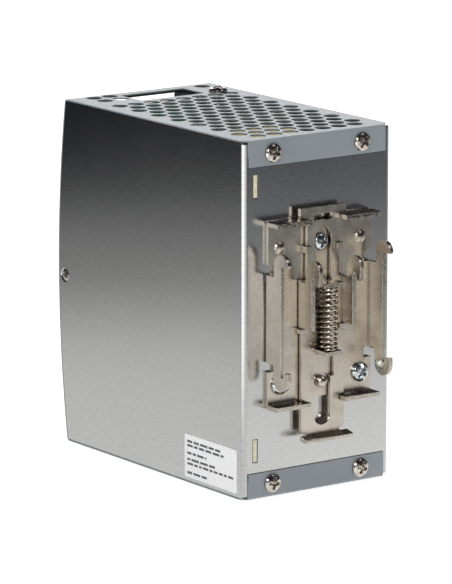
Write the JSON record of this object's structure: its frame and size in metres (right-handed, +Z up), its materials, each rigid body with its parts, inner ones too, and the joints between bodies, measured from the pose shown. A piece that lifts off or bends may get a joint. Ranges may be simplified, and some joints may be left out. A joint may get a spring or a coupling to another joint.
{
  "type": "din rail power supply",
  "caption": "Narrow metal-cased power supply with a perforated painted cover and a spring-loaded clip for a 35 mm rail.",
  "frame": {"origin": "under the middle of the object's box, on the plane of its bottom face", "axes": "+Z up, +Y out of the back towards the rail, +X across the narrow case"},
  "size_m": [0.0631, 0.1273, 0.1272],
  "materials": {
    "brushed_case": "horizontally brushed, satin",
    "cover_paint": "satin grey powder coat",
    "nickel_plate": "nickel plated, rolled, satin",
    "spring_wire": "bright drawn wire",
    "nickel_screw": "bright nickel",
    "zinc_screw": "bright zinc",
    "label_film": "white film",
    "board_green": "solder mask on glass laminate",
    "insulator_film": "thin translucent film",
    "board_post": "turned brass",
    "inner_steel": "zinc plated",
    "terminal_plastic": "moulded black",
    "terminal_metal": "tin plated",
    "trimmer_blue": "moulded blue",
    "trimmer_white": "moulded white",
    "lamp_clear": "tinted clear",
    "sink_aluminium": "extruded",
    "ferrite": "sintered, dark grey",
    "copper_winding": "enamelled copper wire",
    "winding_tape": "yellow polyester tape",
    "bobbin_plastic": "moulded",
    "ring_core": "epoxy coated powder core",
    "can_sleeve": "shrink sleeve",
    "film_box": "grey potted box",
    "fuse_glass": "clear",
    "package_black": "moulded black"
  },
  "bodies": {
    "root": {"chassis_shell": "brushed_case", "front_cover": "cover_paint", "flange_screws": "nickel_screw", "side_screws": "nickel_screw", "top_screw": "nickel_screw", "rating_label": "label_film", "din_base_plate": "nickel_plate", "guide_stud": "nickel_plate", "bracket_screws": "zinc_screw", "latch_spring": "spring_wire", "main_board": "board_green", "board_standoffs": "board_post", "insulation_sheet": "insulator_film", "output_board": "board_green", "input_board": "board_green", "output_bracket": "inner_steel", "output_terminal_block": "terminal_plastic", "output_terminal_clamps": "terminal_metal", "output_terminal_screws": "terminal_metal", "input_terminal_block": "terminal_plastic", "input_terminal_clamps": "terminal_metal", "input_terminal_screws": "terminal_metal", "trimmer_body": "trimmer_blue", "status_lamp": "lamp_clear", "primary_heatsink": "sink_aluminium", "secondary_heatsink": "sink_aluminium", "transformer_core": "ferrite", "transformer_winding": "copper_winding", "transformer_tape": "winding_tape", "transformer_base": "bobbin_plastic", "boost_choke_core": "ring_core", "boost_choke_winding": "copper_winding", "filter_choke_core": "ring_core", "filter_choke_winding": "copper_winding", "bulk_capacitors": "can_sleeve", "output_capacitors": "can_sleeve", "film_capacitor": "film_box", "fuse_tube": "fuse_glass", "fuse_caps": "terminal_metal", "rectifier_bridge": "package_black", "power_switches": "package_black", "control_card": "board_green", "control_chip": "package_black"},
    "latch": {"latch_slider": "nickel_plate"},
    "trimmer": {"trimmer_rotor": "trimmer_white"}
  },
  "joints": [
    {"name": "latch_slide", "type": "slide", "parent": "root", "child": "latch", "axis": [0, 0, 1], "range_m": [0, 0.007], "stiffness_N_per_m": 1200, "springref_m": -0.008, "deforming": ["latch_spring"]},
    {"name": "trimmer_turn", "type": "hinge", "parent": "root", "child": "trimmer", "pos_m": [0.0205, -0.05216, 0.1155], "axis": [0, 1, 0], "range_deg": [-120, 120]}
  ]
}
